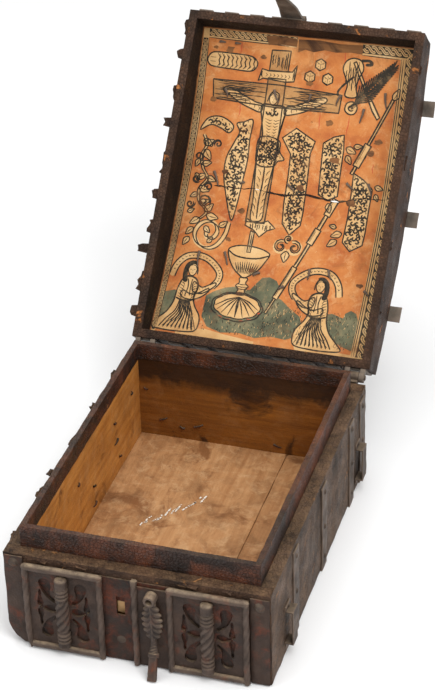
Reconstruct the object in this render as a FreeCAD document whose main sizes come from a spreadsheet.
import FreeCAD, Part
import math
import os
import re

import Sketcher

# A small wooden coffer covered in leather and bound with iron, with a domed lid that stands open.
# Millimetres. X runs to the right, Y to the back, Z up; the lock is on the front, at -Y.
# The origin is the middle of the base, on the underside of the iron bands it stands on.
# Lid pieces are drawn closed and then turned open about the hinge axis by their Placement.

# ---------------------------------------------------------------- driving sizes

SIZES = [
    # the case
    ("case_width", 190.0),  # over the leather, left to right
    ("case_depth", 265.0),  # over the leather, front to back
    ("case_height", 77.0),  # from the base to the leather ledge that the lid rests on
    ("skin", 1.0),  # leather on the outside
    ("board", 12.0),  # wall boards
    ("floor_gauge", 9.0),  # floor boards
    ("floor_seam", 36.5),  # joint between the floor boards, right of the middle
    ("seam_gap", 0.4),  # open joint between two boards
    ("ledge_width", 9.5),  # ledge around the lip
    ("lip_rise", 16.7),  # lip above the ledge, over its leather
    ("lip_skin", 0.7),  # thinner leather folded over the lip
    ("lip_turn", 13.0),  # depth of that leather on the inside
    # iron bands and loops of the case
    ("band_gauge", 1.2),
    ("band_width", 13.0),
    ("band_top", 73.0),
    ("loop_gap", 5.2),  # room for a strap under a loop
    ("loop_width", 11.0),
    ("loop_height", 36.0),
    ("loop_foot", 5.0),
    ("loop_low", 7.0),
    # iron front
    ("plate_gauge", 1.2),
    ("plate_foot", 1.4),
    ("plate_top", 71.0),
    ("corner_gap", 0.6),  # between the lock plate and a corner plate
    ("corner_left_top", 75.6),
    ("corner_right_top", 73.6),
    ("bay", 25.0),  # width of the slot bay and of the cover bay
    ("panel_edge", 78.5),  # centre line of the outer mouldings
    ("stem_width", 3.0),  # back of a moulding, which the panels butt against
    ("moulding_width", 5.0),
    ("tracery_gauge", 2.0),
    ("frame_top", 72.5),
    ("slide_gap", 0.3),  # clearance of the sliding pieces
    ("column_diameter", 8.4),
    ("column_flat", 1.2),  # taken off the back of a column
    ("column_inset", 5.6),  # column ends inside the frame's height
    # lock
    ("slot_offset", -10.8),
    ("slot_width", 6.0),
    ("slot_low", 40.5),
    ("slot_high", 56.0),
    ("recess_left", -20.0),
    ("recess_right", 42.0),
    ("recess_low", 24.0),
    ("recess_high", 63.0),
    ("recess_deep", 7.0),
    ("bolt_level", 52.2),
    ("bolt_rise", 3.6),
    ("bolt_gauge", 2.4),
    ("bolt_lap", 1.0),  # bolt past the far side of the slot
    ("bolt_travel", 8.0),
    ("bolt_tail", 31.0),
    ("keyhole_level", 39.0),
    ("keyhole_radius", 3.6),
    ("keyhole_slit", 4.6),
    ("keyhole_low", 29.5),
    ("cover_gauge", 1.4),
    ("cover_top", 68.4),
    # hinges
    ("axis_out", 7.0),  # hinge axis behind the back
    ("axis_up", 1.0),  # hinge axis above the ledge
    ("knuckle_radius", 4.0),
    ("hinge_pin_radius", 1.8),
    ("pin_play", 0.05),
    ("hinge_offset", 84.0),
    ("hinge_width", 16.0),
    ("leaf_gauge", 1.4),
    ("open_angle", 130.4),
    # lid
    ("rim_gap", 0.3),  # rim above the ledge when closed
    ("rim_width", 6.8),  # leather, rail and lining together
    ("rim_skin", 0.8),
    ("lining", 0.6),
    ("lid_edge", 29.0),  # height over the leather at the front and back
    ("lid_arch", 20.0),  # rise of the outside from there to the middle
    ("panel_edge_deep", 21.0),  # rim to the inner panel at the front and back rails
    ("panel_arch", 15.0),  # rise of the inside from there to the middle
    ("print_gauge", 0.4),
    ("print_gap", 0.8),  # print short of the lining
    ("long_band_width", 11.5),
    ("cross_band_width", 12.5),
    ("cross_band_out", 9.0),  # ends of the cross bands past the sides
    # hasp
    ("hasp_middle", -12.5),
    ("hasp_width", 18.0),
    ("hasp_plate_left", -28.0),
    ("hasp_gauge", 2.0),
    ("hasp_length", 62.0),  # below the closed rim
    ("hasp_axis_up", 12.0),  # above the rim
    ("hasp_knuckle", 2.8),
    ("hasp_pin_radius", 1.2),
]

doc = FreeCAD.newDocument("tabernacle_box")
dims = doc.addObject("Spreadsheet::Sheet", "dims")
for row, (alias, value) in enumerate(SIZES, start=1):
    dims.set(f"A{row}", alias)
    dims.set(f"B{row}", str(value))
    dims.setAlias(f"B{row}", alias)
doc.recompute()

ALIAS = re.compile(r"\b(" + "|".join(alias for alias, value in SIZES) + r")\b")
size = {alias: float(dims.get(alias)) for alias, value in SIZES}

# Lengths that several pieces share, worked out from the driving sizes.
HALF_W = "(case_width / 2)"
HALF_D = "(case_depth / 2)"
WOOD_X = "(case_width / 2 - skin)"
WOOD_Y = "(case_depth / 2 - skin)"
INNER_X = "(case_width / 2 - skin - board)"
INNER_Y = "(case_depth / 2 - skin - board)"
WOOD_LOW = "(band_gauge + skin)"
FLOOR_TOP = "(band_gauge + skin + floor_gauge)"
LEDGE = "(case_height - skin)"
LIP_X = "(case_width / 2 - ledge_width - lip_skin)"
LIP_Y = "(case_depth / 2 - ledge_width - lip_skin)"
LIP_TOP = "(case_height + lip_rise - lip_skin)"
PLATE_FRONT = "(case_depth / 2 + plate_gauge)"
PANEL_FRONT = "(case_depth / 2 + plate_gauge + tracery_gauge)"
AXIS_Y = "(case_depth / 2 + axis_out)"
AXIS_Z = "(case_height + axis_up)"
RIM = "(case_height + rim_gap)"
RAIL_X = "(case_width / 2 - rim_width + lining)"
RAIL_Y = "(case_depth / 2 - rim_width + lining)"
CLEAR_X = "(case_width / 2 - rim_width)"
CLEAR_Y = "(case_depth / 2 - rim_width)"
ARCH_RADIUS = "((case_depth ^ 2 / 4 + lid_arch ^ 2) / (2 * lid_arch))"
PANEL_RADIUS = f"(({RAIL_Y} ^ 2 + panel_arch ^ 2) / (2 * panel_arch))"
ARCH_TOP = f"({RIM} + lid_edge + lid_arch)"
PANEL_TOP = f"({RIM} + panel_edge_deep + panel_arch)"

nodes = {}

# ---------------------------------------------------------------- helpers


def bound(formula):
    """The formula with every driving size pointed at the sheet."""
    return ALIAS.sub(r"dims.\1", formula)


def block(name, x, y, z):
    """A box between pairs of formulas."""
    made = doc.addObject("Part::Box", name)
    for side, (low, high) in zip(("Length", "Width", "Height"), (x, y, z)):
        made.setExpression(side, bound(f"({high}) - ({low})"))
    for axis, (low, high) in zip("xyz", (x, y, z)):
        made.setExpression(f"Placement.Base.{axis}", bound(low))
    return made


AXIS_TURN = {
    "x": FreeCAD.Rotation(FreeCAD.Vector(0, 1, 0), 90),
    "y": FreeCAD.Rotation(FreeCAD.Vector(1, 0, 0), -90),
    "z": FreeCAD.Rotation(),
}


def rod(name, axis, radius, start, length):
    """A cylinder from a start point, along an axis, with formulas for its sizes."""
    made = doc.addObject("Part::Cylinder", name)
    made.Placement = FreeCAD.Placement(FreeCAD.Vector(), AXIS_TURN[axis])
    made.setExpression("Radius", bound(radius))
    made.setExpression("Height", bound(length))
    for letter, formula in zip("xyz", start):
        made.setExpression(f"Placement.Base.{letter}", bound(formula))
    return made


def cut(name, base, tool):
    made = doc.addObject("Part::Cut", name)
    made.Base = base
    made.Tool = tool
    return made


def common(name, *shapes):
    made = doc.addObject("Part::MultiCommon", name)
    made.Shapes = list(shapes)
    return made


def fuse(name, *shapes):
    made = doc.addObject("Part::MultiFuse", name)
    made.Shapes = list(shapes)
    return made


def group(name, shapes):
    """Separate solids that share one node."""
    made = doc.addObject("Part::Compound", name)
    made.Links = list(shapes)
    return made


def drawn(name, shape):
    """A piece whose outline is drawn with Part's own curves."""
    made = doc.addObject("Part::Feature", name)
    made.Shape = shape
    return made


def node(label, made, on_lid=False):
    made.Label = label
    nodes[label] = (made, on_lid)
    return made


def origin_plane(body, role):
    return next(f for f in body.Origin.OriginFeatures if f.Role == role)


def outline(body, name, role, corners):
    """A closed sketch on an origin plane, each corner held by its two formulas."""
    sketch = body.newObject("Sketcher::SketchObject", name)
    sketch.AttachmentSupport = (origin_plane(body, role), "")
    sketch.MapMode = "FlatFace"
    count = len(corners)
    ring = [FreeCAD.Vector(math.cos(t), math.sin(t), 0) for t in
            (2 * math.pi * i / count for i in range(count))]
    for i in range(count):
        sketch.addGeometry(Part.LineSegment(ring[i], ring[(i + 1) % count]), False)
    for i in range(count):
        sketch.addConstraint(Sketcher.Constraint("Coincident", i, 2, (i + 1) % count, 1))
    for i, corner in enumerate(corners):
        for kind, formula, start in zip(("DistanceX", "DistanceY"), corner, ring[i]):
            held = sketch.addConstraint(Sketcher.Constraint(kind, -1, 1, i, 1, start))
            sketch.setExpression(f"Constraints[{held}]", bound(formula))
    return sketch


def padded(name, role, corners, length):
    """A body padded both ways from an origin plane."""
    body = doc.addObject("PartDesign::Body", name)
    pad = body.newObject("PartDesign::Pad", f"{name}_pad")
    pad.Profile = outline(body, f"{name}_outline", role, corners)
    pad.Midplane = True
    pad.setExpression("Length", bound(length))
    body.Tip = pad
    return body


def pocket(body, name, sketch, depth):
    """A cut both ways through the sketch's plane."""
    made = body.newObject("PartDesign::Pocket", name)
    made.Profile = sketch
    made.Midplane = True
    made.setExpression("Length", bound(depth))
    body.Tip = made
    return made


def rectangle(left, right, low, high):
    return [(left, low), (right, low), (right, high), (left, high)]


def nail(head_radius, head_rise, shank_radius, shank_length):
    """A forged nail with its head towards +Z and its shank down from the origin."""
    head = Part.makeCone(head_radius, head_radius * 0.5, head_rise)
    shank = Part.makeCylinder(shank_radius, shank_length, FreeCAD.Vector(0, 0, -shank_length))
    return head.fuse(shank).removeSplitter()


FACING = {
    "front": FreeCAD.Rotation(FreeCAD.Vector(1, 0, 0), 90),
    "right": FreeCAD.Rotation(FreeCAD.Vector(0, 1, 0), 90),
    "left": FreeCAD.Rotation(FreeCAD.Vector(0, 1, 0), -90),
}


def placed(shape, facing, x, y, z):
    copy = shape.copy()
    copy.Placement = FreeCAD.Placement(FreeCAD.Vector(x, y, z), FACING[facing])
    return copy


# ---------------------------------------------------------------- timber of the case


def wall(name, side):
    """The front or back board: full width, with the lip standing on its inner edge."""
    def span(outer, inner):
        return (f"-{outer}", f"-{inner}") if side < 0 else (inner, outer)
    low = block(f"{name}_board", (f"-{WOOD_X}", WOOD_X), span(WOOD_Y, INNER_Y), (WOOD_LOW, LEDGE))
    lip = block(f"{name}_lip", (f"-{LIP_X}", LIP_X), span(LIP_Y, INNER_Y), (LEDGE, LIP_TOP))
    return fuse(f"{name}_blank", low, lip)


def flank(name, side):
    """A side board between the front and back boards, padded along the case."""
    sign = "-" if side < 0 else ""
    corners = [(INNER_X, WOOD_LOW), (WOOD_X, WOOD_LOW), (WOOD_X, LEDGE),
               (LIP_X, LEDGE), (LIP_X, LIP_TOP), (INNER_X, LIP_TOP)]
    return padded(name, "XZ_Plane", [(sign + x, z) for x, z in corners], f"2 * {INNER_Y}")


lock_recess = block("lock_recess", ("recess_left", "recess_right"),
                    (f"-{HALF_D} - skin", f"-{WOOD_Y} + recess_deep"), ("recess_low", "recess_high"))
node("front_board", cut("front_cut", wall("front", -1), lock_recess))
node("back_board", wall("back", 1))
node("left_board", flank("left_flank", -1))
node("right_board", flank("right_flank", 1))
node("floor_board_wide", block(
    "floor_wide", (f"-{INNER_X}", "floor_seam - seam_gap / 2"), (f"-{INNER_Y}", INNER_Y),
    (WOOD_LOW, FLOOR_TOP)))
node("floor_board_narrow", block(
    "floor_narrow", ("floor_seam + seam_gap / 2", INNER_X), (f"-{INNER_Y}", INNER_Y),
    (WOOD_LOW, FLOOR_TOP)))

# ---------------------------------------------------------------- leather of the case


def end_skin(name, side):
    """Leather on the front or back face, carried over the ledge."""
    def span(outer, inner):
        return (f"-{outer}", f"-{inner}") if side < 0 else (inner, outer)
    ledge_in = f"({HALF_D} - ledge_width)"
    face = block(f"{name}_face", (f"-{HALF_W}", HALF_W), span(HALF_D, WOOD_Y),
                 ("band_gauge", "case_height"))
    ledge = block(f"{name}_ledge", (f"-{WOOD_X}", WOOD_X), span(WOOD_Y, ledge_in),
                  (LEDGE, "case_height"))
    return fuse(f"{name}_sheet", face, ledge)


def side_skin(name, side):
    """Leather on a side face, carried over the ledge between the end skins."""
    def span(outer, inner):
        return (f"-{outer}", f"-{inner}") if side < 0 else (inner, outer)
    ledge_in = f"({HALF_D} - ledge_width)"
    face = block(f"{name}_face", span(HALF_W, WOOD_X), (f"-{WOOD_Y}", WOOD_Y),
                 ("band_gauge", "case_height"))
    ledge = block(f"{name}_ledge", span(WOOD_X, f"({HALF_W} - ledge_width)"),
                  (f"-{ledge_in}", ledge_in), (LEDGE, "case_height"))
    return fuse(f"{name}_sheet", face, ledge)


node("front_leather", cut("front_skin_cut", end_skin("front_skin", -1), lock_recess))
node("back_leather", end_skin("back_skin", 1))
node("left_leather", side_skin("left_skin", -1))
node("right_leather", side_skin("right_skin", 1))
node("bottom_leather", block(
    "bottom_skin", (f"-{WOOD_X}", WOOD_X), (f"-{WOOD_Y}", WOOD_Y), ("band_gauge", WOOD_LOW)))

lip_cover = block("lip_cover", (f"-{LIP_X} - lip_skin", f"{LIP_X} + lip_skin"),
                  (f"-{LIP_Y} - lip_skin", f"{LIP_Y} + lip_skin"), (LEDGE, f"{LIP_TOP} + lip_skin"))
lip_core = block("lip_core", (f"-{LIP_X}", LIP_X), (f"-{LIP_Y}", LIP_Y), (LEDGE, LIP_TOP))
lip_inside = block("lip_inside", (f"-{INNER_X}", INNER_X), (f"-{INNER_Y}", INNER_Y),
                   (f"{LIP_TOP} - lip_turn", LIP_TOP))
mouth = block("mouth", (f"-{INNER_X} + lip_skin", f"{INNER_X} - lip_skin"),
              (f"-{INNER_Y} + lip_skin", f"{INNER_Y} - lip_skin"), (LEDGE, f"{LIP_TOP} + 2 * lip_skin"))
folded = fuse("lip_folded", cut("lip_shell", lip_cover, lip_core), lip_inside)
node("lip_leather", cut("lip_ring", folded, mouth))

# ---------------------------------------------------------------- iron front


def plate_body(name, left, right, top):
    """A flat plate on the front face, standing on the leather."""
    body = padded(name, "XZ_Plane", rectangle(left, right, "plate_foot", top), "plate_gauge")
    body.setExpression("Placement.Base.y", bound(f"-{HALF_D} - plate_gauge / 2"))
    return body


PLATE_EDGE = "(panel_edge + stem_width / 2)"
lock_plate = plate_body("lock_plate", f"-{PLATE_EDGE}", PLATE_EDGE, "plate_top")
pocket(lock_plate, "slot_cut", outline(lock_plate, "slot", "XZ_Plane", rectangle(
    "slot_offset - slot_width / 2", "slot_offset + slot_width / 2", "slot_low", "slot_high")),
    "3 * plate_gauge")
pocket(lock_plate, "key_slit_cut", outline(lock_plate, "key_slit", "XZ_Plane", rectangle(
    "bay / 2 - keyhole_slit / 2", "bay / 2 + keyhole_slit / 2", "keyhole_low", "keyhole_level")),
    "3 * plate_gauge")
keyhole_eye = rod("keyhole_eye", "y", "keyhole_radius",
                  ("bay / 2", f"-{PLATE_FRONT} - plate_gauge", "keyhole_level"), "3 * plate_gauge")
node("lock_plate", cut("lock_plate_pierced", lock_plate, keyhole_eye))
CORNER_EDGE = f"({PLATE_EDGE} + corner_gap)"
node("corner_plate_left", plate_body(
    "corner_left", f"-{HALF_W} + skin", f"-{CORNER_EDGE}", "corner_left_top"))
node("corner_plate_right", plate_body(
    "corner_right", CORNER_EDGE, f"{HALF_W} - skin", "corner_right_top"))


def upright(name, x):
    """A vertical moulding: a stem on the plate with a half-round head over it."""
    stem = block(f"{name}_stem", (f"{x} - stem_width / 2", f"{x} + stem_width / 2"),
                 (f"-{PANEL_FRONT}", f"-{PLATE_FRONT}"), ("plate_foot", "frame_top"))
    round_bar = rod(f"{name}_bar", "z", "moulding_width / 2",
                    (x, f"-{PANEL_FRONT}", "plate_foot"), "frame_top - plate_foot")
    front_half = block(f"{name}_half", (f"{x} - moulding_width", f"{x} + moulding_width"),
                       (f"-{PANEL_FRONT} - moulding_width", f"-{PANEL_FRONT}"),
                       ("plate_foot", "frame_top"))
    return fuse(name, stem, common(f"{name}_head", round_bar, front_half))


def crossbar(name, left, right, z):
    """A horizontal moulding of the same section."""
    stem = block(f"{name}_stem", (left, right), (f"-{PANEL_FRONT}", f"-{PLATE_FRONT}"),
                 (f"{z} - stem_width / 2", f"{z} + stem_width / 2"))
    round_bar = rod(f"{name}_bar", "x", "moulding_width / 2",
                    (left, f"-{PANEL_FRONT}", z), f"({right}) - ({left})")
    front_half = block(f"{name}_half", (left, right),
                       (f"-{PANEL_FRONT} - moulding_width", f"-{PANEL_FRONT}"),
                       (f"{z} - moulding_width", f"{z} + moulding_width"))
    return fuse(name, stem, common(f"{name}_head", round_bar, front_half))


def frame(name, left, right):
    """Two uprights and two crossbars, forged as one frame."""
    top = "(frame_top - moulding_width / 2)"
    foot = "(plate_foot + moulding_width / 2)"
    return fuse(name, upright(f"{name}_left", left), upright(f"{name}_right", right),
                crossbar(f"{name}_top", left, right, top), crossbar(f"{name}_foot", left, right, foot))


node("frame_left", frame("frame_l", "-panel_edge", "-bay"))
node("frame_right", frame("frame_r", "bay", "panel_edge"))
node("guide_moulding", upright("guide", "0"))

PANEL_MIDDLE = (size["panel_edge"] + size["bay"]) / 2
PANEL_LOW = size["plate_foot"] + size["moulding_width"] / 2 + size["stem_width"] / 2
PANEL_HIGH = size["frame_top"] - size["moulding_width"] / 2 - size["stem_width"] / 2


# Round heads of the openings in a pierced panel, and how far a comma's tail bows.
COMMA_RADIUS = 4.4
COMMA_BOW = 1.8
LEAF_RADIUS = 2.3
LOBE_RADIUS = 3.4


def mouchette(head_x, head_z, head_radius, tip_x, tip_z, bow):
    """A comma-shaped opening: a round head drawn out to a curved tail."""
    head = FreeCAD.Vector(head_x, 0, head_z)
    tip = FreeCAD.Vector(tip_x, 0, tip_z)
    length = (tip - head).Length
    along = (tip - head).normalize()
    across = FreeCAD.Vector(along.z, 0, -along.x)
    neck = (length + head_radius) / 2
    waist = head_radius * 0.45
    spots = [(-head_radius, 0), (-head_radius * 0.7, head_radius * 0.75), (head_radius * 0.2, head_radius),
             (neck, waist + bow), (length, waist * 0.5), (length + waist * 0.5, 0), (length, -waist * 0.5),
             (neck, bow - waist), (head_radius * 0.2, -head_radius), (-head_radius * 0.7, -head_radius * 0.75)]
    curve = Part.BSplineCurve()
    curve.interpolate(Points=[head + along * u + across * v for u, v in spots], PeriodicFlag=True)
    return Part.Face(Part.Wire([curve.toShape()]))


def tracery_openings(middle_x):
    """Four commas, two pointed leaves and their lobes, mirrored about the column."""
    middle_z = (PANEL_LOW + PANEL_HIGH) / 2
    reach = (PANEL_HIGH - PANEL_LOW) / 2
    width = (size["panel_edge"] - size["bay"]) / 2
    faces = []
    for side in (-1, 1):
        outer = middle_x + side * width * 0.49
        near = middle_x + side * width * 0.25
        leaf_x = middle_x + side * width * 0.63
        for up in (-1, 1):
            faces.append(mouchette(outer, middle_z + up * reach * 0.66, COMMA_RADIUS,
                                   near, middle_z + up * reach * 0.20, -side * up * COMMA_BOW))
            faces.append(mouchette(leaf_x, middle_z + up * reach * 0.10, LEAF_RADIUS,
                                   leaf_x, middle_z + up * reach * 0.48, 0.0))
        faces.append(mouchette(middle_x + side * width * 0.33, middle_z, LOBE_RADIUS,
                               leaf_x, middle_z, 0.0))
    depth = size["tracery_gauge"] * 3
    start = -(size["case_depth"] / 2 + size["plate_gauge"]) - size["tracery_gauge"] * 2
    solids = []
    for face in faces:
        face.translate(FreeCAD.Vector(0, start, 0))
        solids.append(face.extrude(FreeCAD.Vector(0, depth, 0)))
    return solids[0].multiFuse(solids[1:])


def tracery(name, left, right, middle_x):
    """A pierced plate set between the stems of its frame."""
    blank = block(f"{name}_blank", (f"{left} + stem_width / 2", f"{right} - stem_width / 2"),
                  (f"-{PANEL_FRONT}", f"-{PLATE_FRONT}"),
                  ("plate_foot + moulding_width / 2 + stem_width / 2",
                   "frame_top - moulding_width / 2 - stem_width / 2"))
    return cut(f"{name}_pierced", blank, drawn(f"{name}_openings", tracery_openings(middle_x)))


node("tracery_plate_left", tracery("tracery_l", "-panel_edge", "-bay", -PANEL_MIDDLE))
node("tracery_plate_right", tracery("tracery_r", "bay", "panel_edge", PANEL_MIDDLE))


def column(name, x):
    """A turned column with three ring collars at each end and a plain cap."""
    body = doc.addObject("PartDesign::Body", name)
    low = "(plate_foot + column_inset)"
    high = "(frame_top - moulding_width - 0.8)"
    shaft = "(column_diameter / 2 - 0.4)"
    collar = "column_diameter / 2"
    corners = [("0", low), (collar, low)]
    for k in range(3):
        foot = f"{low} + 1.8 + {k} * 2.4"
        corners += [(collar, f"{foot}"), (shaft, f"{foot} + 0.5"), (shaft, f"{foot} + 0.9"),
                    (collar, f"{foot} + 1.4")]
    corners[-1] = (shaft, f"{low} + 1.8 + 2 * 2.4 + 1.4")
    for k in (2, 1, 0):
        neck = f"{high} - 6.0 - {k} * 2.4"
        corners += [(shaft, f"{neck} - 1.4"), (collar, f"{neck} - 0.9"), (collar, f"{neck} - 0.2"),
                    (shaft, f"{neck}")]
    corners += [(collar, f"{high} - 5.4"), (collar, f"{high} - 1.2"), (f"{shaft} - 0.8", high),
                ("0", high)]
    turned = body.newObject("PartDesign::Revolution", f"{name}_turned")
    sketch = outline(body, f"{name}_profile", "XZ_Plane", corners)
    turned.Profile = sketch
    turned.ReferenceAxis = (sketch, ["V_Axis"])
    turned.Angle = 360
    body.Tip = turned
    centre_y = f"(-{PANEL_FRONT} - column_diameter / 2 + column_flat)"
    body.setExpression("Placement.Base.x", bound(x))
    body.setExpression("Placement.Base.y", bound(centre_y))
    behind = block(f"{name}_behind", (f"{x} - column_diameter", f"{x} + column_diameter"),
                   (f"-{PANEL_FRONT}", f"-{PANEL_FRONT} + column_diameter"), ("0", "case_height"))
    return cut(f"{name}_seated", body, behind)


node("column_left", column("column_l", "-(panel_edge + bay) / 2"))
node("column_right", column("column_r", "(panel_edge + bay) / 2"))

# ---------------------------------------------------------------- lock

COVER_LEFT = "(stem_width / 2 + slide_gap)"
COVER_RIGHT = "(bay - stem_width / 2 - slide_gap)"
COVER_FRONT = f"({PLATE_FRONT} + slide_gap + cover_gauge)"
node("keyhole_cover", block(
    "cover_plate", (COVER_LEFT, COVER_RIGHT), (f"-{COVER_FRONT}", f"-{PLATE_FRONT} - slide_gap"),
    ("plate_foot", "cover_top")))

cover_front = size["case_depth"] / 2 + size["plate_gauge"] + size["slide_gap"] + size["cover_gauge"]
PULL_X = size["bay"] / 2
TUBE_RADIUS = 4.6
TUBE_BORE = 3.2
TUBE_LENGTH = 7.5
TUBE_LEVEL = size["cover_top"] - 5.6
PULL_FOOT = 0.5


def leaf_pull():
    """A rolled tube with a leaf drooping from it, which bends forward to a square tail."""
    level = TUBE_LEVEL - TUBE_RADIUS
    drop = level - PULL_FOOT
    # distance in front of the cover of the leaf's back and front, from the root to the tail
    line = [(0.0, 1.4, 3.6), (0.30, 2.6, 3.0), (0.52, 4.8, 4.2), (0.75, 8.4, 4.6), (1.0, 12.6, 4.8)]
    back = [FreeCAD.Vector(0, -cover_front - out, level - down * drop) for down, out, thick in line]
    front = [FreeCAD.Vector(0, -cover_front - out - thick, level - down * drop)
             for down, out, thick in line]
    edges = []
    for points in (back, front):
        curve = Part.BSplineCurve()
        curve.interpolate(points)
        edges.append(curve.toShape())
    edges.append(Part.LineSegment(back[0], front[0]).toShape())
    edges.append(Part.LineSegment(back[-1], front[-1]).toShape())
    side = Part.Face(Part.Wire(Part.__sortEdges__(edges)))
    side.translate(FreeCAD.Vector(PULL_X - 10, 0, 0))
    side = side.extrude(FreeCAD.Vector(20, 0, 0))
    # half widths of the leaf and the lean of its middle line
    shape = [(0.0, 3.2, 0.0), (0.12, 4.8, 0.0), (0.32, 6.6, 0.4), (0.42, 6.0, 0.8), (0.54, 3.6, 1.3),
             (0.80, 3.4, 2.2), (0.84, 3.9, 2.4), (1.0, 3.8, 3.0)]
    left = [FreeCAD.Vector(PULL_X + lean - half, 0, level - down * drop) for down, half, lean in shape]
    right = [FreeCAD.Vector(PULL_X + lean + half, 0, level - down * drop)
             for down, half, lean in reversed(shape)]
    front_view = Part.Face(Part.makePolygon(left + right + left[:1]))
    front_view.translate(FreeCAD.Vector(0, -cover_front - 30, 0))
    leaf = side.common(front_view.extrude(FreeCAD.Vector(0, 32, 0)))
    out = FreeCAD.Vector(0, -1, 0)
    start = FreeCAD.Vector(PULL_X, -cover_front, TUBE_LEVEL)
    tube = Part.makeCylinder(TUBE_RADIUS, TUBE_LENGTH, start, out)
    bore = Part.makeCylinder(TUBE_BORE, TUBE_LENGTH, start + out * 0.8, out)
    neck = Part.makeBox(6.4, 3.6, 3.0, FreeCAD.Vector(PULL_X - 3.2, -cover_front - 5.0, level - 1.0))
    return tube.fuse(neck).cut(bore).fuse(leaf).removeSplitter()


node("cover_pull", drawn("pull", leaf_pull()))

BOLT_LEFT = "(slot_offset - slot_width / 2 - bolt_lap)"
BOLT_BACK = f"({WOOD_Y} - 0.4)"
BOLT_FRONT = f"({BOLT_BACK} - bolt_gauge)"
bolt_bar = block("bolt_bar", (BOLT_LEFT, "bolt_tail"), (f"-{BOLT_BACK}", f"-{BOLT_FRONT}"),
                 ("bolt_level - bolt_rise / 2", "bolt_level + bolt_rise / 2"))
talons = [block(f"bolt_talon_{k}", (f"bay / 2 + {x}", f"bay / 2 + {x} + 2"),
                (f"-{BOLT_BACK}", f"-{BOLT_FRONT}"),
                ("bolt_level - bolt_rise / 2 - 3", "bolt_level")) for k, x in enumerate((-4.5, 2.5))]
node("lock_bolt", fuse("bolt", bolt_bar, *talons))


def bolt_staple(name, x):
    """A staple riveted behind the plate, with the bolt running through it."""
    outer = block(f"{name}_outer", (x, f"{x} + 2.4"), (f"-{HALF_D}", f"-{BOLT_FRONT} + 1.7"),
                  ("bolt_level - bolt_rise / 2 - 2", "bolt_level + bolt_rise / 2 + 2"))
    window = block(f"{name}_window", (f"{x} - 1", f"{x} + 3.4"),
                   (f"-{HALF_D}", f"-{BOLT_FRONT} + slide_gap"),
                   ("bolt_level - bolt_rise / 2 - slide_gap", "bolt_level + bolt_rise / 2 + slide_gap"))
    return cut(name, outer, window)


node("bolt_staples", group("staples", [bolt_staple("staple_a", "(slot_offset + slot_width / 2 + 2.5)"),
                                       bolt_staple("staple_b", "(bolt_tail - 4)")]))


def bowed_spring():
    """A leaf spring over the bolt, bowed down to it, with its foot on the plate."""
    chord = 17.0
    sag = 2.4
    gauge = 0.8
    low = size["bolt_level"] + size["bolt_rise"] / 2 + size["slide_gap"]
    middle = size["bay"] / 2 + 0.8
    plate_back = -size["case_depth"] / 2

    def edge(drop):
        ends = [FreeCAD.Vector(middle + side * chord / 2, plate_back, low + sag + drop)
                for side in (-1, 1)]
        return ends, Part.Arc(ends[0], FreeCAD.Vector(middle, plate_back, low + drop), ends[1]).toShape()

    (low_ends, low_arc), (high_ends, high_arc) = edge(0.0), edge(gauge)
    sides = [Part.LineSegment(a, b).toShape() for a, b in zip(low_ends, high_ends)]
    face = Part.Face(Part.Wire(Part.__sortEdges__([low_arc, high_arc] + sides)))
    leaf = face.extrude(FreeCAD.Vector(0, 3.0, 0))
    foot = Part.makeBox(2.4, 3.0, 3.0, high_ends[0] - FreeCAD.Vector(2.2, 0, gauge))
    return leaf.fuse(foot).removeSplitter()


node("bolt_spring", drawn("spring", bowed_spring()))
RECESS_FLOOR = f"({WOOD_Y} - recess_deep)"
node("key_pin", fuse(
    "pin", rod("pin_stem", "y", "1.2", ("bay / 2", f"-{HALF_D}", "keyhole_level"),
               f"{HALF_D} - {RECESS_FLOOR}"),
    rod("pin_foot", "y", "3.5", ("bay / 2", f"-{RECESS_FLOOR} - 1", "keyhole_level"), "1")))

plate_front = size["case_depth"] / 2 + size["plate_gauge"]
corner_x = (size["case_width"] / 2 - size["skin"] + size["panel_edge"] + 2) / 2
DOMED = nail(4.0, 1.6, 1.3, 9.0)
FLAT = nail(3.2, 0.5, 1.3, 9.0)
rivets = [placed(DOMED, "front", -corner_x, -plate_front, size["corner_left_top"] - 5.5),
          placed(DOMED, "front", corner_x, -plate_front, size["corner_right_top"] - 6.5),
          placed(FLAT, "front", -size["bay"] / 2 + 1, -plate_front, 19.0)]
node("lock_rivets", drawn("rivets", Part.makeCompound(rivets)))

# ---------------------------------------------------------------- bands and loops of the case

# Middle of each band and of each loop, as a share of the depth from the centre.
BAND_PLACES = (-0.272, 0.018, 0.325, 0.447)
LOOP_PLACES = (-0.356, 0.398)


def bands_of(name, x, z, places):
    made = []
    for k, share in enumerate(places):
        y = f"(case_depth * {share})"
        made.append(block(f"{name}_{k}", x, (f"{y} - band_width / 2", f"{y} + band_width / 2"), z))
    return group(name, made)


node("bottom_bands", bands_of("bottom_band", (f"-{HALF_W}", HALF_W), ("0", "band_gauge"), BAND_PLACES))
node("side_bands_left", bands_of(
    "left_band", (f"-{HALF_W} - band_gauge", f"-{HALF_W}"), ("0", "band_top"), BAND_PLACES))
node("side_bands_right", bands_of(
    "right_band", (HALF_W, f"{HALF_W} + band_gauge"), ("0", "band_top"), BAND_PLACES))


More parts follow.
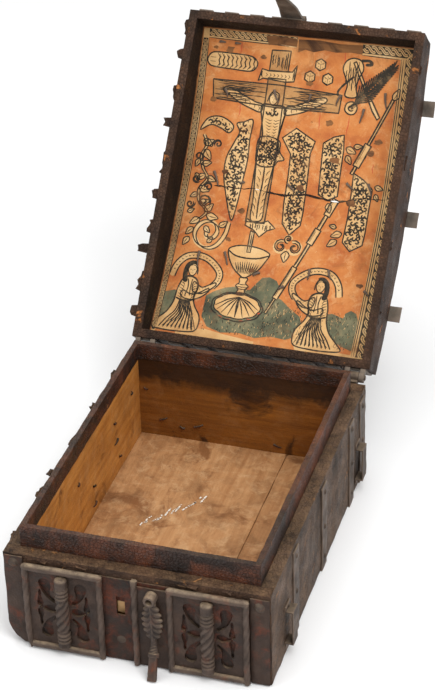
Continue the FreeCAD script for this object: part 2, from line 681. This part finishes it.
def strap_loop(name, side, share):
    """A raised loop nailed to a side by its two feet."""
    y = f"(case_depth * {share})"
    reach = f"({HALF_W} + loop_gap + band_gauge)"

    def across(near, far):
        return (f"-({far})", f"-({near})") if side < 0 else (near, far)
    high = "(loop_low + loop_height)"
    width = (f"{y} - loop_width / 2", f"{y} + loop_width / 2")
    foot_x = across(HALF_W, f"{HALF_W} + band_gauge")
    leg_x = across(HALF_W, reach)
    legs = [block(f"{name}_foot_low", foot_x, width, ("loop_low", "loop_low + loop_foot")),
            block(f"{name}_leg_low", leg_x, width,
                  ("loop_low + loop_foot - band_gauge", "loop_low + loop_foot")),
            block(f"{name}_bridge", across(f"{HALF_W} + loop_gap", reach), width,
                  ("loop_low + loop_foot - band_gauge", f"{high} - loop_foot + band_gauge")),
            block(f"{name}_leg_high", leg_x, width,
                  (f"{high} - loop_foot", f"{high} - loop_foot + band_gauge")),
            block(f"{name}_foot_high", foot_x, width, (f"{high} - loop_foot", high))]
    return fuse(name, *legs)


for side, word in ((-1, "left"), (1, "right")):
    node(f"strap_loops_{word}", group(f"loops_{word}", [
        strap_loop(f"loop_{word}_{k}", side, share) for k, share in enumerate(LOOP_PLACES)]))

BAND_NAIL = nail(2.3, 1.1, 0.8, 8.0)
band_face = size["case_width"] / 2 + size["band_gauge"]
case_nails = []
for side, facing in ((-1, "left"), (1, "right")):
    for share in BAND_PLACES:
        for level in (10.0, size["band_top"] / 2, size["band_top"] - 6.0):
            case_nails.append(placed(BAND_NAIL, facing, side * band_face,
                                     size["case_depth"] * share, level))
    for share in LOOP_PLACES:
        for level in (size["loop_low"] + 1.9, size["loop_low"] + size["loop_height"] - 1.9):
            case_nails.append(placed(nail(1.6, 0.9, 0.7, 7.0), facing, side * band_face,
                                     size["case_depth"] * share, level))
node("case_nails", drawn("nails_case", Part.makeCompound(case_nails)))

# ---------------------------------------------------------------- hinges

KNUCKLE = "hinge_width / 4"


def knuckle(name, x_low, x_high, up):
    """A barrel on the hinge axis with a neck to the leaf, below or above it."""
    barrel = rod(f"{name}_barrel", "x", "knuckle_radius", (x_low, AXIS_Y, AXIS_Z),
                 f"({x_high}) - ({x_low})")
    z = (AXIS_Z, f"{AXIS_Z} + knuckle_radius") if up else (f"{AXIS_Z} - knuckle_radius", AXIS_Z)
    neck = block(f"{name}_neck", (x_low, x_high), (HALF_D, AXIS_Y), z)
    return fuse(name, barrel, neck)


def hinge(word, middle):
    """One strap hinge: a leaf on the case with the middle knuckle, a leaf on the lid with two."""
    inner = (f"({middle} - {KNUCKLE} + 0.2)", f"({middle} + {KNUCKLE} - 0.2)")
    left = (f"({middle} - hinge_width / 2)", f"({middle} - {KNUCKLE})")
    right = (f"({middle} + {KNUCKLE})", f"({middle} + hinge_width / 2)")
    whole = (left[0], right[1])
    leaf_y = (HALF_D, f"{HALF_D} + leaf_gauge")
    bore = rod(f"{word}_bore", "x", "hinge_pin_radius + pin_play",
               (f"{middle} - hinge_width", AXIS_Y, AXIS_Z), "2 * hinge_width")
    case_leaf = fuse(f"{word}_case_leaf",
                     block(f"{word}_case_plate", whole, leaf_y, ("8", f"{AXIS_Z} - knuckle_radius - 1.5")),
                     block(f"{word}_case_tongue", inner, leaf_y,
                           (f"{AXIS_Z} - knuckle_radius - 2", f"{AXIS_Z} - knuckle_radius + 1")),
                     knuckle(f"{word}_case_knuckle", inner[0], inner[1], False))
    lid_leaf = fuse(f"{word}_lid_leaf",
                    block(f"{word}_lid_plate", whole, leaf_y,
                          (f"{AXIS_Z} + knuckle_radius - 1", f"{RIM} + lid_edge - 3")),
                    knuckle(f"{word}_lid_knuckle_a", left[0], left[1], True),
                    knuckle(f"{word}_lid_knuckle_b", right[0], right[1], True))
    node(f"hinge_case_{word}", cut(f"{word}_case_bored", case_leaf, bore))
    node(f"hinge_lid_{word}", cut(f"{word}_lid_bored", lid_leaf, bore), on_lid=True)
    return rod(f"{word}_hinge_pin", "x", "hinge_pin_radius", (f"{whole[0]} - 1", AXIS_Y, AXIS_Z),
               "hinge_width + 2")


node("hinge_pins", group("pins", [hinge("left", "(-hinge_offset)"), hinge("right", "(hinge_offset)")]))

# ---------------------------------------------------------------- timber of the lid

arch = rod("arch", "x", ARCH_RADIUS, (f"-{HALF_W}", "0", f"{ARCH_TOP} - {ARCH_RADIUS}"), "case_width")
arch_wood = rod("arch_wood", "x", f"{ARCH_RADIUS} - skin",
                (f"-{HALF_W}", "0", f"{ARCH_TOP} - {ARCH_RADIUS}"), "case_width")
vault = rod("vault", "x", PANEL_RADIUS, (f"-{HALF_W}", "0", f"{PANEL_TOP} - {PANEL_RADIUS}"),
            "case_width")
ROOF = (RIM, ARCH_TOP)
RAIL_LOW = f"({RIM} + rim_skin)"

node("lid_front_rail", common("lid_front", vault, block(
    "lid_front_blank", (f"-{WOOD_X}", WOOD_X), (f"-{WOOD_Y}", f"-{RAIL_Y}"), (RAIL_LOW, ARCH_TOP))), True)
node("lid_back_rail", common("lid_back", vault, block(
    "lid_back_blank", (f"-{WOOD_X}", WOOD_X), (RAIL_Y, WOOD_Y), (RAIL_LOW, ARCH_TOP))), True)
node("lid_left_rail", common("lid_left", vault, block(
    "lid_left_blank", (f"-{WOOD_X}", f"-{RAIL_X}"), (f"-{RAIL_Y}", RAIL_Y), (RAIL_LOW, ARCH_TOP))), True)
node("lid_right_rail", common("lid_right", vault, block(
    "lid_right_blank", (RAIL_X, WOOD_X), (f"-{RAIL_Y}", RAIL_Y), (RAIL_LOW, ARCH_TOP))), True)
roof = cut("roof", arch_wood, vault)
LID_SEAM = "(-2)"
node("lid_board_front", common("lid_roof_front", roof, block(
    "roof_front_blank", (f"-{WOOD_X}", WOOD_X), (f"-{WOOD_Y}", f"{LID_SEAM} - seam_gap / 2"), ROOF)), True)
node("lid_board_back", common("lid_roof_back", roof, block(
    "roof_back_blank", (f"-{WOOD_X}", WOOD_X), (f"{LID_SEAM} + seam_gap / 2", WOOD_Y), ROOF)), True)

# ---------------------------------------------------------------- leather and print of the lid

node("lid_top_leather", common("lid_top_sheet", cut("top_shell", arch, arch_wood), block(
    "top_sheet_blank", (f"-{WOOD_X}", WOOD_X), (f"-{WOOD_Y}", WOOD_Y), ROOF)), True)
lid_outside = block("lid_outside", (f"-{HALF_W}", HALF_W), (f"-{HALF_D}", HALF_D),
                    (f"{RIM} + rim_skin", ARCH_TOP))
lid_inside = block("lid_inside", (f"-{WOOD_X}", WOOD_X), (f"-{WOOD_Y}", WOOD_Y),
                   (f"{RIM}", f"{ARCH_TOP} + 1"))
node("lid_side_leather", common("lid_side_sheet", arch, cut("side_shell", lid_outside, lid_inside)), True)
rim_sheet = block("rim_sheet", (f"-{HALF_W}", HALF_W), (f"-{HALF_D}", HALF_D),
                  (RIM, f"{RIM} + rim_skin"))
hollow = block("hollow", (f"-{CLEAR_X}", CLEAR_X), (f"-{CLEAR_Y}", CLEAR_Y),
               (f"{RIM} - 1", f"{ARCH_TOP} + 1"))
node("lid_rim_leather", cut("rim_ring", rim_sheet, hollow), True)
lining_block = block("lining_block", (f"-{RAIL_X}", RAIL_X), (f"-{RAIL_Y}", RAIL_Y),
                     (RAIL_LOW, ARCH_TOP))
node("lid_lining", common("lining_ring", vault, cut("lining_shell", lining_block, hollow)), True)
vault_paper = rod("vault_paper", "x", f"{PANEL_RADIUS} - print_gauge",
                  (f"-{HALF_W}", "0", f"{PANEL_TOP} - {PANEL_RADIUS}"), "case_width")
node("lid_print", common("print_sheet", cut("print_shell", vault, vault_paper), block(
    "print_blank", (f"-{CLEAR_X} + print_gap", f"{CLEAR_X} - print_gap"),
    (f"-{CLEAR_Y} + print_gap", f"{CLEAR_Y} - print_gap"), ROOF)), True)

# ---------------------------------------------------------------- iron bands of the lid

arch_band = rod("arch_band", "x", f"{ARCH_RADIUS} + band_gauge",
                (f"-{HALF_W} - cross_band_out", "0", f"{ARCH_TOP} - {ARCH_RADIUS}"),
                "case_width + 2 * cross_band_out")
arch_cross = rod("arch_cross", "x", f"{ARCH_RADIUS} + 2 * band_gauge",
                 (f"-{HALF_W} - cross_band_out", "0", f"{ARCH_TOP} - {ARCH_RADIUS}"),
                 "case_width + 2 * cross_band_out")
long_arch = rod("long_arch", "x", f"{ARCH_RADIUS}",
                (f"-{HALF_W} - cross_band_out", "0", f"{ARCH_TOP} - {ARCH_RADIUS}"),
                "case_width + 2 * cross_band_out")
long_shell = cut("long_shell", arch_band, long_arch)
cross_shell = cut("cross_shell", arch_cross, arch_band)

# Middle of each front-to-back band and of each cross band, as a share of the width or depth.
LONG_PLACES = (-0.432, -0.321, -0.211, 0.121, 0.232, 0.342, 0.453)
CROSS_PLACES = (-0.315, 0.017, 0.308)


def long_band(name, x_low, x_high, back_low):
    """A band over the lid from front to back, turned down over both edges."""
    over = common(f"{name}_over", long_shell, block(
        f"{name}_blank", (x_low, x_high), (f"-{HALF_D}", HALF_D), (RIM, f"{ARCH_TOP} + 5")))
    edge_top = f"({RIM} + lid_edge + 0.5)"
    front = block(f"{name}_front", (x_low, x_high), (f"-{HALF_D} - band_gauge", f"-{HALF_D}"),
                  (f"{RIM} + 0.6", edge_top))
    back = block(f"{name}_back", (x_low, x_high), (HALF_D, f"{HALF_D} + band_gauge"),
                 (back_low, edge_top))
    return fuse(name, over, front, back)


def long_span(share):
    middle = f"(case_width * {share})"
    return f"({middle} - long_band_width / 2)", f"({middle} + long_band_width / 2)"


def band_back(share):
    """A band behind a hinge leaf stops above it; the others run down to the rim."""
    near_hinge = abs(abs(size["case_width"] * share) - size["hinge_offset"])
    meets_leaf = near_hinge < (size["hinge_width"] + size["long_band_width"]) / 2 + 0.5
    return f"{RIM} + lid_edge - 2.6" if meets_leaf else f"{RIM} + 4"


long_bands = [long_band(f"long_{k}", *long_span(share), band_back(share))
              for k, share in enumerate(LONG_PLACES)]
node("lid_long_bands", group("long_bands", long_bands), True)
cross_bands = []
for k, share in enumerate(CROSS_PLACES):
    middle = f"(case_depth * {share})"
    cross_bands.append(common(f"cross_{k}", cross_shell, block(
        f"cross_blank_{k}", (f"-{HALF_W} - cross_band_out", f"{HALF_W} + cross_band_out"),
        (f"{middle} - cross_band_width / 2", f"{middle} + cross_band_width / 2"),
        (RIM, f"{ARCH_TOP} + 5"))))
node("lid_cross_bands", group("cross_bands", cross_bands), True)

rim_level = size["case_height"] + size["rim_gap"]


def arched(half_span, rise, top, y):
    """Height of an arch of that span and rise at a place along it."""
    radius = (half_span ** 2 + rise ** 2) / (2 * rise)
    return top - radius + math.sqrt(radius ** 2 - y ** 2)


def roof_height(y):
    top = rim_level + size["lid_edge"] + size["lid_arch"]
    return arched(size["case_depth"] / 2, size["lid_arch"], top, y)


def panel_height(y):
    top = rim_level + size["panel_edge_deep"] + size["panel_arch"]
    half = size["case_depth"] / 2 - size["rim_width"] + size["lining"]
    return arched(half, size["panel_arch"], top, y)


def clenched_nail(x, y, turn):
    """A nail driven through a band, the leather and the board, its tip bent over the print."""
    head_level = roof_height(y) + size["band_gauge"]
    below = panel_height(y) - size["print_gauge"] - 0.9
    driven = nail(2.4, 1.2, 0.8, head_level - below)
    tip = Part.makeCone(0.8, 0.2, 3.6)
    tip.Placement = FreeCAD.Placement(
        FreeCAD.Vector(0, 0, below - head_level + 0.5),
        FreeCAD.Rotation(FreeCAD.Vector(-math.sin(turn), math.cos(turn), 0), 90))
    whole = driven.fuse(tip)
    whole.Placement = FreeCAD.Placement(FreeCAD.Vector(x, y, head_level), FreeCAD.Rotation())
    return whole


# Rows of nails, as a share of the depth, clear of the cross bands.
NAIL_ROWS = (-0.40, -0.20, 0.10, 0.22, 0.40)
lid_nails = []
for column_index, share in enumerate(LONG_PLACES):
    for row_index, row_share in enumerate(NAIL_ROWS):
        if (column_index + row_index) % 2 == 0:
            lid_nails.append(clenched_nail(size["case_width"] * share, size["case_depth"] * row_share,
                                           1.3 * column_index + 2.1 * row_index))
node("lid_nails", drawn("nails_lid", Part.makeCompound(lid_nails)), True)

# ---------------------------------------------------------------- hasp

HASP_LEFT = "(hasp_middle - hasp_width / 2)"
HASP_RIGHT = "(hasp_middle + hasp_width / 2)"
HASP_BACK = f"({HALF_D} + band_gauge + slide_gap)"
HASP_AXIS_Y = f"({HASP_BACK} + hasp_knuckle)"
HASP_AXIS_Z = f"({RIM} + hasp_axis_up)"
hasp_band = long_band("hasp_band", "hasp_plate_left", HASP_RIGHT, f"{RIM} + 4")
hasp_bore = rod("hasp_bore", "x", "hasp_pin_radius + pin_play",
                (f"{HASP_LEFT} - 5", f"-{HASP_AXIS_Y}", HASP_AXIS_Z), "hasp_width + 10")
hasp_ears = []
for word, low, high in (("left", HASP_LEFT, f"{HASP_LEFT} + 4.8"),
                        ("right", f"{HASP_RIGHT} - 4.8", HASP_RIGHT)):
    hasp_ears.append(rod(f"hasp_ear_{word}", "x", "hasp_knuckle", (low, f"-{HASP_AXIS_Y}", HASP_AXIS_Z),
                         f"({high}) - ({low})"))
    hasp_ears.append(block(f"hasp_web_{word}", (low, high), (f"-{HASP_AXIS_Y}", f"-{HALF_D}"),
                           (HASP_AXIS_Z, f"{HASP_AXIS_Z} + hasp_knuckle")))
node("hasp_hinge_band", cut("hasp_hinge", fuse("hasp_hinge_blank", hasp_band, *hasp_ears), hasp_bore), True)
node("hasp_pin", group("hasp_pin_seated", [rod(
    "hasp_pin_rod", "x", "hasp_pin_radius",
    (f"{HASP_LEFT} - 0.6", f"-{HASP_AXIS_Y}", HASP_AXIS_Z), "hasp_width + 1.2")]), True)


def hasp_blade():
    """A leaf-shaped hasp, seen from the side as a bowed strip whose tip turns outward."""
    half_depth = size["case_depth"] / 2
    back = -(half_depth + size["band_gauge"] + size["slide_gap"])
    gauge = size["hasp_gauge"]
    length = size["hasp_length"]
    root = rim_level + size["hasp_axis_up"] - size["hasp_knuckle"] + 0.6
    line = [(root, 0.0), (rim_level, 0.0), (rim_level - 0.35 * length, 0.9),
            (rim_level - 0.7 * length, 1.6), (rim_level - length, 5.0)]
    edges = []
    ends = []
    for extra in (0.0, gauge):
        points = [FreeCAD.Vector(0, back - out - extra, z) for z, out in line]
        curve = Part.BSplineCurve()
        curve.interpolate(points)
        edges.append(curve.toShape())
        ends.append((points[0], points[-1]))
    edges += [Part.LineSegment(a, b).toShape() for a, b in zip(*ends)]
    side = Part.Face(Part.Wire(Part.__sortEdges__(edges)))
    middle = size["hasp_middle"]
    half = size["hasp_width"] / 2
    side.translate(FreeCAD.Vector(middle - half - 1, 0, 0))
    side = side.extrude(FreeCAD.Vector(2 * half + 2, 0, 0))
    # distance below the rim as a share of the length, with the left and right half widths
    shape = [(0.0, 0.92, 0.98), (0.30, 0.66, 0.98), (0.5, 0.56, 0.8), (0.74, 0.42, 0.44), (1.0, 0.1, 0.1)]
    left = [FreeCAD.Vector(middle - half * a, 0, rim_level - length * down) for down, a, b in shape]
    right = [FreeCAD.Vector(middle + half * b, 0, rim_level - length * down) for down, a, b in shape]
    corners = [FreeCAD.Vector(middle - half * 0.92, 0, root)] + left + right[::-1]
    corners += [FreeCAD.Vector(middle + half * 0.98, 0, root)]
    front_view = Part.Face(Part.makePolygon(corners + corners[:1]))
    front_view.translate(FreeCAD.Vector(0, back - 20, 0))
    blade = side.common(front_view.extrude(FreeCAD.Vector(0, 24, 0)))
    axis_y = back - size["hasp_knuckle"]
    axis_z = rim_level + size["hasp_axis_up"]
    inner_half = half - 5.0
    start = FreeCAD.Vector(middle - inner_half, axis_y, axis_z)
    barrel = Part.makeCylinder(size["hasp_knuckle"], 2 * inner_half, start, FreeCAD.Vector(1, 0, 0))
    tongue = Part.makeBox(2 * inner_half, gauge, size["hasp_knuckle"] + 1,
                          FreeCAD.Vector(middle - inner_half, back - gauge, root - 1))
    ears = [Part.makeCylinder(size["hasp_knuckle"] + 0.4, 5.4,
                              FreeCAD.Vector(x, axis_y, axis_z), FreeCAD.Vector(1, 0, 0))
            for x in (middle - half - 0.4, middle + half - 5.0)]
    hole = Part.makeCylinder(size["hasp_pin_radius"] + size["pin_play"], 2 * half + 4,
                             FreeCAD.Vector(middle - half - 2, axis_y, axis_z), FreeCAD.Vector(1, 0, 0))
    return blade.fuse(barrel).fuse(tongue).cut(ears[0]).cut(ears[1]).cut(hole).removeSplitter()


node("hasp", drawn("hasp_leaf", hasp_blade()), True)

# ---------------------------------------------------------------- build, check and export

doc.recompute()
hinge_point = FreeCAD.Vector(0, size["case_depth"] / 2 + size["axis_out"],
                             size["case_height"] + size["axis_up"])
opened = FreeCAD.Placement(FreeCAD.Vector(), FreeCAD.Rotation(FreeCAD.Vector(1, 0, 0),
                                                              -size["open_angle"]), hinge_point)
for label, (made, on_lid) in nodes.items():
    if on_lid:
        made.Placement = opened.multiply(made.Placement)
doc.recompute()

for made in doc.Objects:
    if "Invalid" in made.State or "Error" in made.State:
        raise RuntimeError(f"{made.Name} failed: {made.State}")
for label, (made, on_lid) in nodes.items():
    if made.Shape.isNull() or not made.Shape.isValid() or not made.Shape.Solids:
        raise RuntimeError(f"{label} has no valid solid")

os.makedirs("parts", exist_ok=True)
for label, (made, on_lid) in nodes.items():
    made.Shape.exportStep(f"parts/{label}.step")
print(f"{len(nodes)} nodes")
